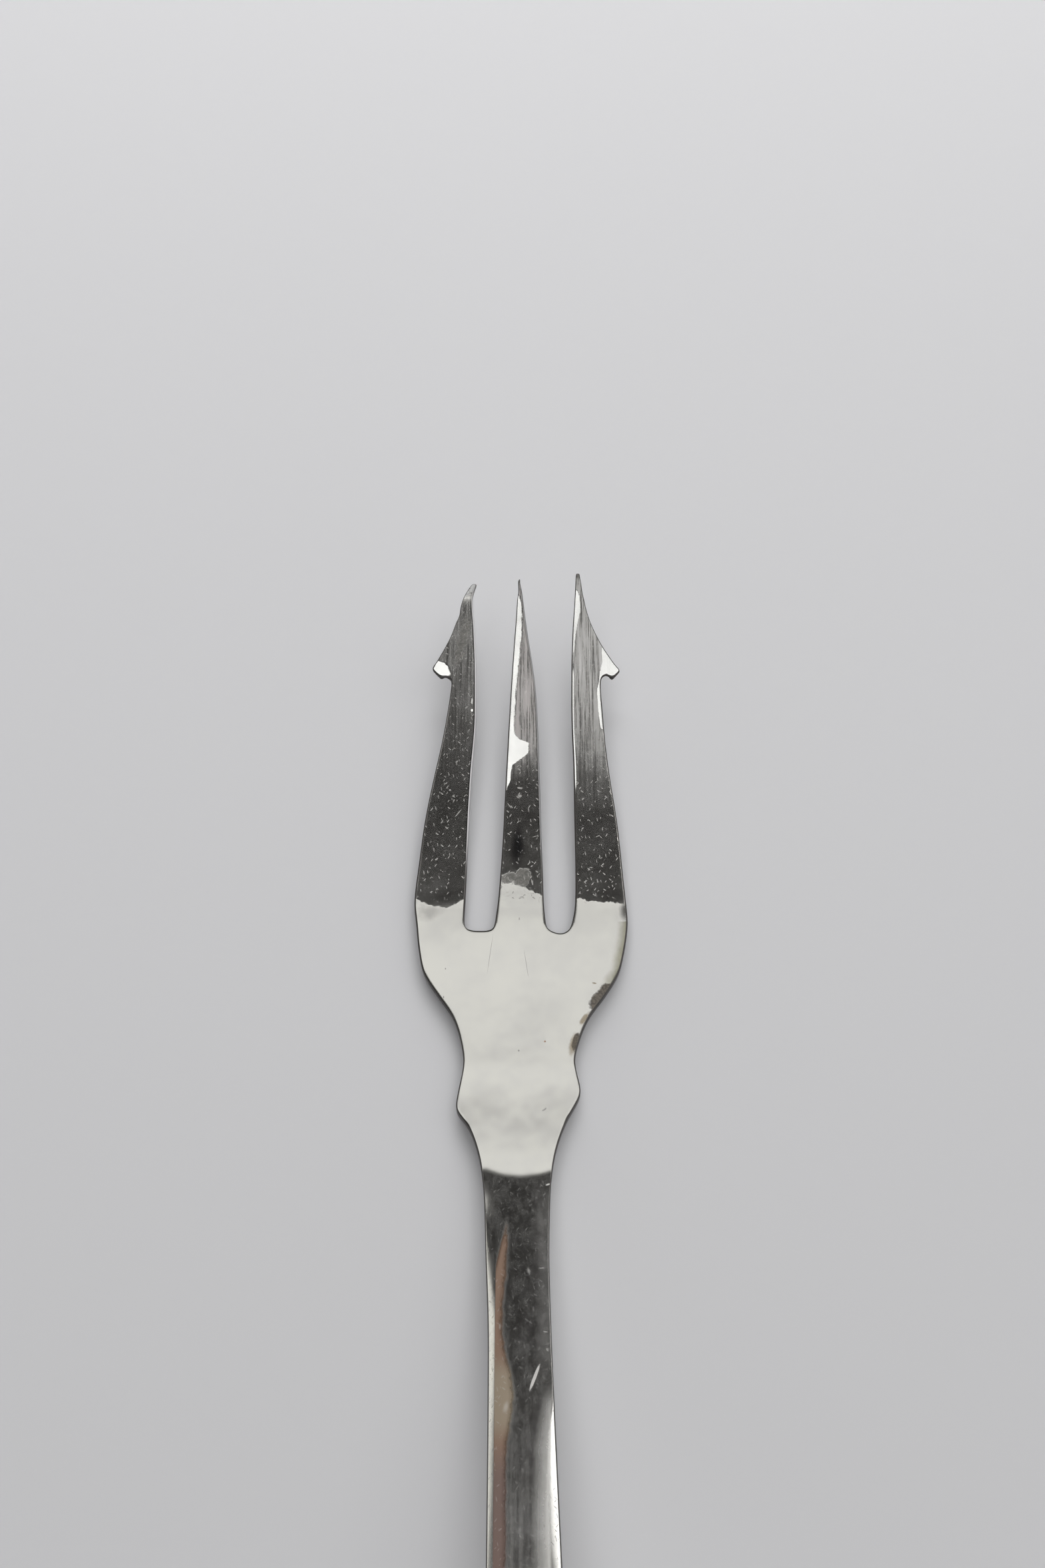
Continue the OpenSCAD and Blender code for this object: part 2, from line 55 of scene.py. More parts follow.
# The fork: one piece of nickel silver under thin silver plate. It is cut from sheet, its
# outline and barbs are filed, and it is forged to its curve, with no seam, rivet or joint.
# Sizes are millimetres; "up" runs from the slots' bottoms to the tips, and back is negative.
SLOTS_AT = Vector((0.004, 50.504, 0))
HANDLE_L = 138
HANDLE_END_ROUND = 6
END_FULLNESS = 2.2
NECK = -31
ROOTS = 0.9
TINE_L = 37
MIDDLE_TIP = 36.4
LEFT_TIP = 36.15
BARB_UP = 26.9
RIGHT_BARB_LOWER = 0.25
NOTCH_UP = 25.65
BLANK_T = 1.0
PALM_LEFT, PALM_RIGHT = -9.6, 9.55
LEFT_SLOT, RIGHT_SLOT = (-5.08, -2.15), (2.05, 4.93)
LEFT_GAP, RIGHT_GAP = -3.3, 3.2

# Edges of the handle and palm, through (up, across) points.
LEFT_EDGE = [
    (-HANDLE_L, -3.02), (-132, -3.09), (-105, -2.7), (-88, -2.34), (-72, -2.45), (-56.4, -2.56),
    (-48, -2.57), (-38, -2.62), (NECK, -2.88), (-25.7, -3.06), (-23.5, -3.25), (-21.9, -3.5),
    (-18.96, -4.44), (-17.3, -5.58), (-15.7, -5.38), (-12.8, -4.95), (-10.6, -5.28), (-8.6, -5.92),
    (-6.2, -7.47), (-4, -8.69), (-2, -9.07), (2.6, -9.65),
]
RIGHT_EDGE = [
    (-HANDLE_L, 6.98), (-132, 6.91), (-105, 5.41), (-88, 4.36), (-72, 3.66), (-56.4, 3.03),
    (-48, 2.74), (-38, 2.42), (NECK, 2.29), (-28, 2.34), (-25, 2.44), (-23, 2.62),
    (-21.25, 2.92), (-18.2, 3.94), (-17, 4.62), (-15.7, 5.12), (-14.2, 4.84), (-12.8, 4.61),
    (-10.6, 5.09), (-8.6, 5.89), (-6.2, 7.51), (-4, 8.69), (-2, 9.14), (0.6, 9.58),
]
# Edges of the tines. A back is the hollow edge that runs from a barb's point to the tip.
LEFT_OUTER = [
    (ROOTS, -9.37), (2.6, -9.65), (6.7, -9.3), (10.8, -8.9), (15, -8.23), (19.4, -7.4), (22, -7),
    (NOTCH_UP, -6.54),
]
RIGHT_OUTER = [
    (ROOTS, 9.57), (5.7, 9.22), (10.8, 8.84), (15, 8.31), (19.4, 7.84), (22, 7.69), (NOTCH_UP, 7.46),
]
LEFT_INNER = [
    (ROOTS, -5.1), (6, -4.9), (12, -4.74), (16.1, -4.56), (22, -4.21), (BARB_UP, -4.26), (31, -4.43),
    (34.4, -4.66), (LEFT_TIP, -4.28), (TINE_L, -4.2),
]
RIGHT_INNER = [
    (ROOTS, 4.55), (2.3, 4.82), (6, 4.9), (12, 4.85), (16.1, 4.84), (22, 4.69), (BARB_UP, 4.74),
    (31, 4.89), (34, 5.1), (TINE_L, 5.26),
]
MIDDLE_LEFT = [
    (ROOTS, -2.36), (2.3, -2.17), (6, -1.88), (9.4, -1.69), (16, -1.42), (24, -1.04), (27, -0.87),
    (30.3, -0.66), (33, -0.47), (MIDDLE_TIP, -0.34),
]
MIDDLE_RIGHT = [
    (ROOTS, 2.2), (2.3, 2.05), (6, 1.97), (9.4, 1.86), (16, 1.72), (24, 1.44), (27, 1.13),
    (30.3, 0.66), (33, 0.32), (MIDDLE_TIP, -0.07),
]
LEFT_BACK = [
    (BARB_UP, -8.34), (27.7, -8), (29, -7.32), (30.5, -6.66), (32.7, -6.01), (34.4, -5.6),
    (35.1, -5.38), (35.7, -5.1), (LEFT_TIP, -4.72),
]
RIGHT_BACK = [
    (26.6, 9.32), (28, 8.48), (29.2, 7.76), (30.5, 7.14), (32.2, 6.5), (34, 6.08), (36, 5.8),
    (TINE_L, 5.7),
]
# Lower edges of the barbs, from the notch outwards: share of the reach, and rise to there.
LEFT_BEAK = [(0.12, 0.27), (0.34, 0.16), (0.55, -0.16), (0.8, 0.38), (1.04, 0.5)]
RIGHT_BEAK = [(0.12, 0.45), (0.34, 0.2), (0.6, -0.45), (0.82, 0.37), (1.02, 0.43)]


def ramp(value, low, high):
    """Share of the way from low to high, from 0 to 1."""
    return min(1, max(0, (value - low) / (high - low)))


def fair(stations, y):
    """A fair curve through stations (up, value), level wherever they turn back."""
    def grade(i):
        return (stations[i + 1][1] - stations[i][1]) / (stations[i + 1][0] - stations[i][0])

    def slope(i):
        if i == 0:
            return grade(0)
        if i == len(stations) - 1:
            return grade(i - 1)
        a, b = grade(i - 1), grade(i)
        return 0 if a * b <= 0 else 2 * a * b / (a + b)

    i = 0
    while i < len(stations) - 2 and y >= stations[i + 1][0]:
        i += 1
    t = ramp(y, stations[i][0], stations[i + 1][0])
    length = stations[i + 1][0] - stations[i][0]
    return (stations[i][1] * (1 + 2 * t) * (1 - t) ** 2 + stations[i + 1][1] * t * t * (3 - 2 * t)
            + length * t * (1 - t) * (slope(i) * (1 - t) - slope(i + 1) * t))


def handle_share(y):
    """How much of its width the handle has left in its rounded end."""
    t = ramp(-y, HANDLE_L - HANDLE_END_ROUND, HANDLE_L)
    return (1 - t ** END_FULLNESS) ** (1 / END_FULLNESS)


def left_edge(y):
    a, b = fair(LEFT_EDGE, y), fair(RIGHT_EDGE, y)
    return (a + b) / 2 - (b - a) / 2 * handle_share(y)


def right_edge(y):
    a, b = fair(LEFT_EDGE, y), fair(RIGHT_EDGE, y)
    return (a + b) / 2 + (b - a) / 2 * handle_share(y)


def steps(start, end, n):
    return [start + (end - start) * k / n for k in range(n + 1)]


# The blank is modelled flat, row by row from the end of the handle up to the tips. Its
# columns are set out as at the slots: three squares to each tine, and four to each slot.
# A vertex within NEAR of a row or a column lies on it.
columns = (steps(PALM_LEFT, LEFT_SLOT[0], 3) + steps(*LEFT_SLOT, 4)[1:]
           + steps(LEFT_SLOT[1], RIGHT_SLOT[0], 3)[1:]
           + steps(*RIGHT_SLOT, 4)[1:] + steps(RIGHT_SLOT[1], PALM_RIGHT, 3)[1:])
squares = len(columns) - 1
NEAR = 0.02

bpy.ops.object.select_all(action="DESELECT")
bpy.ops.mesh.primitive_grid_add(x_subdivisions=squares, y_subdivisions=1, size=2, location=(0, 0, 0))
fork = bpy.context.object
fork.name = "silver_fork"
fork.data.name = "silver_fork"
bpy.ops.object.mode_set(mode="EDIT")
bpy.ops.mesh.select_mode(type="VERT")


def pick(test):
    """Selects the vertices of the blank that pass the test, and the edges between them."""
    bpy.ops.mesh.select_all(action="DESELECT")
    mesh = bmesh.from_edit_mesh(fork.data)
    for vert in mesh.verts:
        vert.select_set(test(vert.co.x, vert.co.y))
    mesh.select_flush(True)
    bmesh.update_edit_mesh(fork.data)


def move(x, y):
    bpy.ops.transform.translate(value=(x, y, 0))


def extrude(x, y):
    bpy.ops.mesh.extrude_region_move(TRANSFORM_OT_translate={"value": (x, y, 0)})


def fit(old, new, y):
    """Scales the selected row from its old left and right ends to its new ones."""
    middle = (old[0] + old[1]) / 2
    bpy.ops.transform.resize(
        value=((new[1] - new[0]) / (old[1] - old[0]), 1, 1), center_override=(middle, y, 0))
    move((new[0] + new[1]) / 2 - middle, 0)


def grow(left, right, stops):
    """Extrudes the selected row to each stop and fits it between the two edges there."""
    y = stops[0]
    for stop in stops[1:]:
        extrude(0, stop - y)
        fit((left(y), right(y)), (left(stop), right(stop)), stop)
        y = stop


# The grid is one strip of squares. Its columns are moved to their places one by one, aside
# of the others, and its two rows become the first two at the end of the handle.
ASIDE = 40
for k, x in reversed(list(enumerate(columns))):
    old = -1 + 2 * k / squares
    pick(lambda vx, vy: abs(vx - old) < NEAR)
    move(x + ASIDE - old, 0)
bpy.ops.mesh.select_all(action="SELECT")
move(-ASIDE, 0)
end_rows = [-HANDLE_L + d for d in (0.12, 0.5, 1.2, 2.2, 3.6, 5.2)]
for old_y, y in zip((-1, 1), end_rows):
    pick(lambda vx, vy: abs(vy - old_y) < NEAR)
    move(0, y - old_y)
    fit((columns[0], columns[-1]), (left_edge(y), right_edge(y)), y)
handle_rows = end_rows[1:] + steps(-HANDLE_L + 7.5, NECK, 38)
grow(left_edge, right_edge, handle_rows + steps(NECK, -ROOTS, 36)[1:])

# The row at the slots: the tines go on, and the slots' own vertices are pulled back to
# their round bottoms, the left one squarer and the right one rounder and deeper.
grow(left_edge, right_edge, [-ROOTS, ROOTS])
row_start, row_width = left_edge(ROOTS), right_edge(ROOTS) - left_edge(ROOTS)
old_row = [row_start + (x - columns[0]) / (columns[-1] - columns[0]) * row_width for x in columns]
new_row = list(columns)
roots = {}
# Each tine has its first and last column, and its edges from left to right.
for tine, first, last, left, right in (
    ("left", 0, 3, LEFT_OUTER, LEFT_INNER),
    ("middle", 7, 10, MIDDLE_LEFT, MIDDLE_RIGHT),
    ("right", 14, 17, RIGHT_INNER, RIGHT_OUTER),
):
    roots[tine] = fair(left, ROOTS), fair(right, ROOTS)
    new_row[first:last + 1] = steps(*roots[tine], last - first)
slot_bottoms = {4: (-4.92, -0.82), 5: (-3.62, -0.9), 6: (-2.5, -0.84),
                11: (2.3, -0.76), 12: (3.5, -1.3), 13: (4.28, -0.84)}
for k, x in enumerate(old_row):
    new_x, pull = slot_bottoms.get(k, (new_row[k], 0))
    pick(lambda vx, vy: abs(vx - x) < NEAR and abs(vy - ROOTS) < NEAR)
    move(new_x - x, pull)


def tine_row(low, high, y):
    pick(lambda vx, vy: low - NEAR < vx < high + NEAR and abs(vy - y) < NEAR)


# The middle tine narrows evenly, and then runs out to its long thin point.
tine_row(*roots["middle"], ROOTS)
grow(lambda y: fair(MIDDLE_LEFT, y), lambda y: fair(MIDDLE_RIGHT, y),
     steps(ROOTS, 30, 16) + steps(30, MIDDLE_TIP - 0.3, 7)[1:] + [MIDDLE_TIP])

# The outer tines. Each shaft is grown to its notch and one row on. The side of that last
# row is then drawn out to the barb's point, and the whole top runs hollow to the tip.
COLLAR = 0.2
OVER_BARB = 0.45
CLOSER_UP = 29.2
LAST_ROW = 0.35


def outer_tine(shaft, inner, back, tip, root, point_up, beak):
    """Grows an outer tine on its root, and gives the lower edge of its barb."""
    def ends(outer, y):
        return sorted((fair(outer, y), fair(inner, y)))

    def grow_along(outer, stops):
        grow(lambda y: ends(outer, y)[0], lambda y: ends(outer, y)[1], stops)

    tine_row(*root, ROOTS)
    grow_along(shaft, steps(ROOTS, NOTCH_UP, 15))
    collar = point_up + COLLAR
    grow_along(shaft, [NOTCH_UP, collar])

    start_x = fair(shaft, NOTCH_UP)
    reach = fair(back, point_up) - start_x
    pick(lambda vx, vy: abs(vx - start_x) < NEAR and NOTCH_UP - NEAR < vy < collar + NEAR)
    x, low_y = start_x, NOTCH_UP
    below = [(abs(x), low_y)]
    for share, rise in beak:
        new_x = start_x + reach * share
        extrude(new_x - x, 0)
        pick(lambda vx, vy: abs(vx - new_x) < NEAR and abs(vy - low_y) < NEAR)
        move(0, rise)
        low_y += rise
        pick(lambda vx, vy: abs(vx - new_x) < NEAR and low_y - NEAR < vy < collar + NEAR)
        x = new_x
        below.append((abs(x), low_y))

    low_x, high_x = sorted((x, fair(inner, collar)))
    tine_row(low_x, high_x, collar)
    extrude(0, OVER_BARB)
    top = collar + OVER_BARB
    fit((low_x, high_x), ends(back, top), top)
    grow_along(back, steps(top, CLOSER_UP, 3) + steps(CLOSER_UP, tip - LAST_ROW, 10)[1:] + [tip])
    return below


left_below = outer_tine(
    LEFT_OUTER, LEFT_INNER, LEFT_BACK, LEFT_TIP, roots["left"], BARB_UP, LEFT_BEAK)
right_below = outer_tine(
    RIGHT_OUTER, RIGHT_INNER, RIGHT_BACK, TINE_L, roots["right"], BARB_UP - RIGHT_BARB_LOWER,
    RIGHT_BEAK)

# Columns that crowd together in the points are merged, and a line set in from the edge
# keeps the outline when the edges are rounded.
CROWDED_UP = 32.5
pick(lambda vx, vy: vy > CROWDED_UP)
bpy.ops.mesh.remove_doubles(threshold=0.16)
bpy.ops.mesh.select_all(action="SELECT")
bpy.ops.mesh.inset(thickness=0.1, use_boundary=True, use_even_offset=True)
bpy.ops.object.mode_set(mode="OBJECT")
thick = fork.modifiers.new("thickness", "SOLIDIFY")
thick.thickness = BLANK_T
thick.offset = -1
smooth = fork.modifiers.new("worn_edges", "SUBSURF")
smooth.levels = smooth.render_levels = 2
bpy.ops.object.modifier_apply(modifier=thick.name)
bpy.ops.object.modifier_apply(modifier=smooth.name)

# Forming. Slopes of the underside in degrees at distances from the slots: the tines rise
# from a bend, the palm rests on the table, and the handle arches and comes down to it.
CREST = 86
TINE_BENDS = [(2.4, 0), (3.6, 3.5), (TINE_L, 13.4)]
HANDLE_BENDS = [
    (8, 0), (23.1, 0.7), (24.6, 8.6), (57, 13), (CREST, 0), (102, -14.9), (125, -14.9), (134, 0),
    (HANDLE_L, 0),
]
NECK_BOW, BOW_LIMIT, BOW_BACK = 0.065, 8, (12, 18)
THICKNESS = [
    (-HANDLE_L, 1.7), (-CREST, 1.91), (-38, 2.3), (-23.7, 1.87), (-12.8, 1.4), (0, 1.35),
    (BARB_UP, 1), (TINE_L, 0.6),
]
# The crown: how far the face falls off to its left edge, the share of that on its right,
# and the share that the back is hollowed. Then the bevel on the handle's right side.
CROWN = [(-HANDLE_L, 0.36), (-38, 0.61), (NECK, 0.55), (-28, 0.42), (-24, 0), (TINE_L, 0)]
CROWN_LIMIT = 1.2
RIGHT_CROWN = 0.45
HOLLOW_BACK = 0.3
BEVEL = [
    (-HANDLE_L, 1.3), (-56.4, 1.18), (-52, 1.08), (-49.5, 0.92), (-47, 0.72), (-44.6, 0.4),
    (-43, 0), (TINE_L, 0),
]
BEVEL_SLOPE = 0.16
# The left tip is bent down. Wear has taken a share of the thickness away from below, most
# at the outline and under the barbs, over a width that is narrower on the tines. It fades
# out up the handle, and beside the slots' bottoms.
TIP_BEND_UP, TIP_BEND_END, TIP_DROP = 33.4, 36, 0.35
WORN_SHARE, BARB_WORN_SHARE = 0.5, 0.27
BARB_UP_ZONE, BARB_OUT_ZONE = (24.5, 26), (6.4, 7.2)
WORN_WIDTH, NARROWER, ROOT_ZONE = 1.5, 0.6, (-4, 2)
HANDLE_WEAR_ZONE = (-40, -26)
SLOT_RELIEF, SLOT_RELIEF_END = 0.3, 5
# Hand finishing leaves the face a little wavy: height, waves across and along, and a seed.
RIPPLES = [(0.006, 0.35, 0.25, 3), (0.002, 1.3, 0.9, 7)]
# FAR stands for a place with no such edge near it.
ROOT_GAP = 1
SLANT_STEP = 0.2
FAR = 9


def climb(bends, d):
    """Height reached after a distance d along slopes that change evenly between bends."""
    height = 0
    for (d0, a0), (d1, a1) in zip(bends, bends[1:]):
        if d <= d0:
            break
        end = min(d, d1)
        s0, s1 = math.tan(math.radians(a0)), math.tan(math.radians(a1))
        height += (end - d0) * (s0 + s0 + (s1 - s0) * (end - d0) / (d1 - d0)) / 2
    return height


def edge_gap(x, y, past_slots=0.0):
    """Distance on the blank to the outline beside a place, and more by the slots' bottoms."""
    if y < 0:
        run = left_edge(y + SLANT_STEP) - left_edge(y - SLANT_STEP)
        slant = math.hypot(1, run / (2 * SLANT_STEP))
        return min(x - left_edge(y), right_edge(y) - x) / slant
    more = past_slots * max(0, SLOT_RELIEF_END - y)
    if LEFT_GAP < x < RIGHT_GAP:
        if y <= ROOTS:
            return ROOT_GAP
        return max(0, min(x - fair(MIDDLE_LEFT, y), fair(MIDDLE_RIGHT, y) - x)) + more
    if x < 0:
        edge, shaft, inner, back, below = LEFT_EDGE, LEFT_OUTER, LEFT_INNER, LEFT_BACK, left_below
    else:
        edge, shaft, inner, back, below = RIGHT_EDGE, RIGHT_OUTER, RIGHT_INNER, RIGHT_BACK, right_below
    if y < ROOTS:
        return abs(fair(edge, y) - x)
    in_barb = abs(x) > below[0][0]
    beside, under_barb = abs(fair(shaft if y < NOTCH_UP else back, y) - x), FAR
    if in_barb and y < BARB_UP:
        beside = FAR
    if in_barb and y > NOTCH_UP - 0.2:
        under_barb = y - fair(below, abs(x))
    return max(0, min(beside, abs(x - fair(inner, y)) + more, under_barb))


def formed_height(x, y, share):
    """Height of a place of the formed fork, at a share of the way from back to face."""
    a, b = left_edge(y), right_edge(y)
    t = fair(THICKNESS, y)
    if y > 0:
        under = climb(TINE_BENDS, y)
    else:
        # From the waist on, the bend at the neck comes earlier at the sides.
        bowed = -y + NECK_BOW * min(BOW_LIMIT, x * x) * ramp(-y, *BOW_BACK)
        under = climb(HANDLE_BENDS, bowed) - max(0, -y - CREST) / (HANDLE_L - CREST) * end_height
    if x < LEFT_GAP and y > TIP_BEND_UP:
        under -= TIP_DROP * ((y - TIP_BEND_UP) / (TIP_BEND_END - TIP_BEND_UP)) ** 2

    u = (2 * x - a - b) / (b - a)
    lost = fair(CROWN, y) * min(CROWN_LIMIT, u * u) * (1 if u < 0 else RIGHT_CROWN)
    cut = max(0, fair(BEVEL, y) - (b - x)) * BEVEL_SLOPE
    worn_width = WORN_WIDTH - NARROWER * ramp(y, *ROOT_ZONE)
    hollow = 1 - ramp(edge_gap(x, y, SLOT_RELIEF), 0, worn_width)
    barb = ramp(y, *BARB_UP_ZONE) * ramp(abs(x), *BARB_OUT_ZONE)
    worn = (WORN_SHARE + BARB_WORN_SHARE * barb) * t * hollow * hollow * ramp(y, *HANDLE_WEAR_ZONE)
    ripple = sum(h * noise.noise(Vector((x * sx, y * sy, seed))) for h, sx, sy, seed in RIPPLES)
    back = under + worn + HOLLOW_BACK * lost
    face = under + t - lost - cut + ripple
    return back + (face - back) * share


# Kept at each vertex for the material: how steep the rounded edge is (rim), and the
# distance to the outline (gap), to a tine's right side (flank) and to its left (bank).
for name in ("rim", "gap", "flank", "bank"):
    fork.data.attributes.new(name, "FLOAT", "POINT")
rim, gap, flank, bank = [fork.data.attributes[name].data for name in ("rim", "gap", "flank", "bank")]
end_height = climb(HANDLE_BENDS, HANDLE_L)
steepness = [1 - vert.normal.z ** 2 for vert in fork.data.vertices]
for vert, steep in zip(fork.data.vertices, steepness):
    x, y, z = vert.co
    to_right = to_left = FAR
    if y >= ROOTS and x <= RIGHT_GAP:
        to_right = fair(LEFT_INNER if x < LEFT_GAP else MIDDLE_RIGHT, y) - x
    if y >= ROOTS and not LEFT_GAP < x < RIGHT_GAP:
        to_left = x - fair(RIGHT_INNER if x > 0 else LEFT_OUTER, y)
    rim[vert.index].value = steep
    gap[vert.index].value = edge_gap(x, y)
    flank[vert.index].value = to_right
    bank[vert.index].value = to_left
    vert.co.z = formed_height(x, y, (z + BLANK_T) / BLANK_T)
low = min(v.co.z for v in fork.data.vertices)
for vert in fork.data.vertices:
    vert.co = (vert.co + SLOTS_AT - Vector((0, 0, low))) * MM
bpy.ops.object.shade_smooth()

# The silver. Patterns are laid out in the same millimetres as the outline.
silver = bpy.data.materials.new("worn_silver")
silver.use_nodes = True


def shader_group(name, inputs, outputs):
    tree = bpy.data.node_groups.new(name, "ShaderNodeTree")
    for label, kind, value in inputs:
        socket = tree.interface.new_socket(label, in_out="INPUT", socket_type=kind)
        if value is not None:
            socket.default_value = value
    for label, kind in outputs:
        tree.interface.new_socket(label, in_out="OUTPUT", socket_type=kind)
    return tree, tree.nodes.new("NodeGroupInput"), tree.nodes.new("NodeGroupOutput")


def wire(tree, source, target):
    """Links a socket to the target, or sets the target to a plain value."""
    if isinstance(source, bpy.types.NodeSocket):
        tree.links.new(source, target)
    else:
        target.default_value = source


def calc(tree, operation, *values):
    node = tree.nodes.new("ShaderNodeMath")
    node.operation = operation
    for k, value in enumerate(values):
        wire(tree, value, node.inputs[k])
    return node.outputs[0]


def vector_calc(tree, operation, *values):
    node = tree.nodes.new("ShaderNodeVectorMath")
    node.operation = operation
    for k, value in enumerate(values):
        wire(tree, value, node.inputs[k])
    return node.outputs["Value" if operation == "LENGTH" else "Vector"]


def turn_about_z(tree, vector, angle):
    node = tree.nodes.new("ShaderNodeVectorRotate")
    node.rotation_type = "Z_AXIS"
    wire(tree, vector, node.inputs["Vector"])
    wire(tree, angle, node.inputs["Angle"])
    return node.outputs[0]


def ease(tree, value, low, high, to_low=0.0, to_high=1.0):
    """Goes smoothly from to_low to to_high while the value goes from low to high."""
    node = tree.nodes.new("ShaderNodeMapRange")
    node.interpolation_type = "SMOOTHSTEP"
    for k, v in enumerate((value, low, high, to_low, to_high)):
        wire(tree, v, node.inputs[k])
    return node.outputs[0]


def grain(tree, vector, scale, detail=2.0, rough=0.5):
    node = tree.nodes.new("ShaderNodeTexNoise")
    wire(tree, vector, node.inputs["Vector"])
    for label, value in (("Scale", scale), ("Detail", detail), ("Roughness", rough)):
        wire(tree, value, node.inputs[label])
    return node.outputs["Fac"]


def blend(tree, mask, a, b):
    """Colour a where the mask is 0, and colour b where it is 1."""
    node = tree.nodes.new("ShaderNodeMix")
    node.data_type = "RGBA"
    for socket, value in zip((node.inputs[0], node.inputs[6], node.inputs[7]), (mask, a, b)):
        wire(tree, value, socket)
    return node.outputs[2]


# A mark of a given size and place with a ragged border: stains, dents, polished spots, painted glints
# and painted shade.
spot_tree, into, out = shader_group("mark", [
    ("Vector", "NodeSocketVector", None), ("Centre", "NodeSocketVector", (0, 0, 0)),
    ("Turn", "NodeSocketFloat", 0.0), ("Size", "NodeSocketVector", (1, 1, 1)),
    ("Softness", "NodeSocketFloat", 0.3), ("Raggedness", "NodeSocketFloat", 0.5),
    ("Fineness", "NodeSocketFloat", 2.0),
], [("Mask", "NodeSocketFloat")])
away = vector_calc(spot_tree, "SUBTRACT", into.outputs["Vector"], into.outputs["Centre"])
away = vector_calc(spot_tree, "MULTIPLY", away, (1, 1, 0))
turned = turn_about_z(spot_tree, away, into.outputs["Turn"])
shrunk = vector_calc(spot_tree, "DIVIDE", turned, into.outputs["Size"])
reach = vector_calc(spot_tree, "LENGTH", shrunk)
ragged = grain(spot_tree, into.outputs["Vector"], into.outputs["Fineness"], 4.0, 0.6)
ragged = calc(spot_tree, "SUBTRACT", ragged, 0.5)
ragged = calc(spot_tree, "MULTIPLY", ragged, into.outputs["Raggedness"])
reach = calc(spot_tree, "ADD", reach, ragged)
inner_end = calc(spot_tree, "SUBTRACT", 1.0, into.outputs["Softness"])
wire(spot_tree, ease(spot_tree, reach, 1.0, inner_end), out.inputs["Mask"])

# Short straight scratches that all run one way: points strewn over a drawn-out plane, each
# with its own length.
scratch_tree, into, out = shader_group("scratches", [
    ("Vector", "NodeSocketVector", None), ("Turn", "NodeSocketFloat", 0.0),
    ("Across", "NodeSocketFloat", 0.3), ("Along", "NodeSocketFloat", 1.5),
    ("Reach", "NodeSocketFloat", 0.2),
], [("Mask", "NodeSocketFloat")])
turned = turn_about_z(scratch_tree, into.outputs["Vector"], into.outputs["Turn"])
size = scratch_tree.nodes.new("ShaderNodeCombineXYZ")
wire(scratch_tree, into.outputs["Across"], size.inputs[0])
wire(scratch_tree, into.outputs["Along"], size.inputs[1])
size.inputs[2].default_value = 1
drawn = vector_calc(scratch_tree, "DIVIDE", turned, size.outputs[0])
points = scratch_tree.nodes.new("ShaderNodeTexVoronoi")
points.voronoi_dimensions = "2D"
points.inputs["Scale"].default_value = 1
wire(scratch_tree, drawn, points.inputs["Vector"])
chance = scratch_tree.nodes.new("ShaderNodeSeparateXYZ")
wire(scratch_tree, points.outputs["Color"], chance.inputs[0])
reach = calc(scratch_tree, "MULTIPLY", into.outputs["Reach"], chance.outputs[0])
half_reach = calc(scratch_tree, "MULTIPLY", reach, 0.5)
scratch = ease(scratch_tree, points.outputs["Distance"], reach, half_reach)
wire(scratch_tree, scratch, out.inputs["Mask"])

tree = silver.node_tree
shader = tree.nodes["Principled BSDF"]
where = tree.nodes.new("ShaderNodeTexCoord")
place = tree.nodes.new("ShaderNodeMapping")
place.inputs["Scale"].default_value = (1000, 1000, 1000)
place.inputs["Location"].default_value = tuple(-SLOTS_AT)
wire(tree, where.outputs["Object"], place.inputs["Vector"])
mm = place.outputs[0]
split = tree.nodes.new("ShaderNodeSeparateXYZ")
wire(tree, mm, split.inputs[0])
across, up, _ = split.outputs
surface = tree.nodes.new("ShaderNodeNewGeometry")
facing = tree.nodes.new("ShaderNodeSeparateXYZ")
wire(tree, surface.outputs["Normal"], facing.inputs[0])
facing_up = facing.outputs[2]
on_top = ease(tree, facing_up, 0.2, 0.8)


def chain(operation, values):
    result = values[0]
    for value in values[1:]:
        result = calc(tree, operation, result, value)
    return result


def times(*values):
    return chain("MULTIPLY", values)


def plus(*values):
    return chain("ADD", values)


def minus(value, less):
    return calc(tree, "SUBTRACT", value, less)


def any_of(*masks):
    return chain("MAXIMUM", masks)


def mark(x, y, wide, tall, turn=0.0, soft=0.3, ragged=0.5, fine=2.0):
    node = tree.nodes.new("ShaderNodeGroup")
    node.node_tree = spot_tree
    wire(tree, mm, node.inputs["Vector"])
    for label, value in (
        ("Centre", (x, y, 0)), ("Turn", math.radians(turn)), ("Size", (wide / 2, tall / 2, 1)),
        ("Softness", soft), ("Raggedness", ragged), ("Fineness", fine),
    ):
        node.inputs[label].default_value = value
    return times(node.outputs[0], on_top)


def marks(*rows):
    """One mask of several marks. A row is across, up, wide, tall, turn, soft, ragged, fine."""
    return any_of(*[mark(*row) for row in rows])


def scratches(turn, across_mm, along_mm, reach):
    node = tree.nodes.new("ShaderNodeGroup")
    node.node_tree = scratch_tree
    wire(tree, mm, node.inputs["Vector"])
    for label, value in (
        ("Turn", math.radians(turn)), ("Across", across_mm), ("Along", along_mm), ("Reach", reach),
    ):
        node.inputs[label].default_value = value
    return node.outputs[0]


def line_at(points):
    """Distance from the axis, at each height, of a border drawn through (up, across) points."""
    ups, widths = [p[0] for p in points], [p[1] for p in points]
    low, high, left, right = min(ups), max(ups), min(widths), max(widths)
    node = tree.nodes.new("ShaderNodeFloatCurve")
    wire(tree, calc(tree, "DIVIDE", minus(up, low), high - low), node.inputs["Value"])
    curve = node.mapping.curves[0]
    for k, (u, w) in enumerate(points):
        at = ((u - low) / (high - low), (w - left) / (right - left))
        point = curve.points[0] if k == 0 else curve.points[-1] if k == 1 else curve.points.new(*at)
        point.location = at
        point.handle_type = "VECTOR"
    node.mapping.update()
    return plus(times(node.outputs[0], right - left), left)


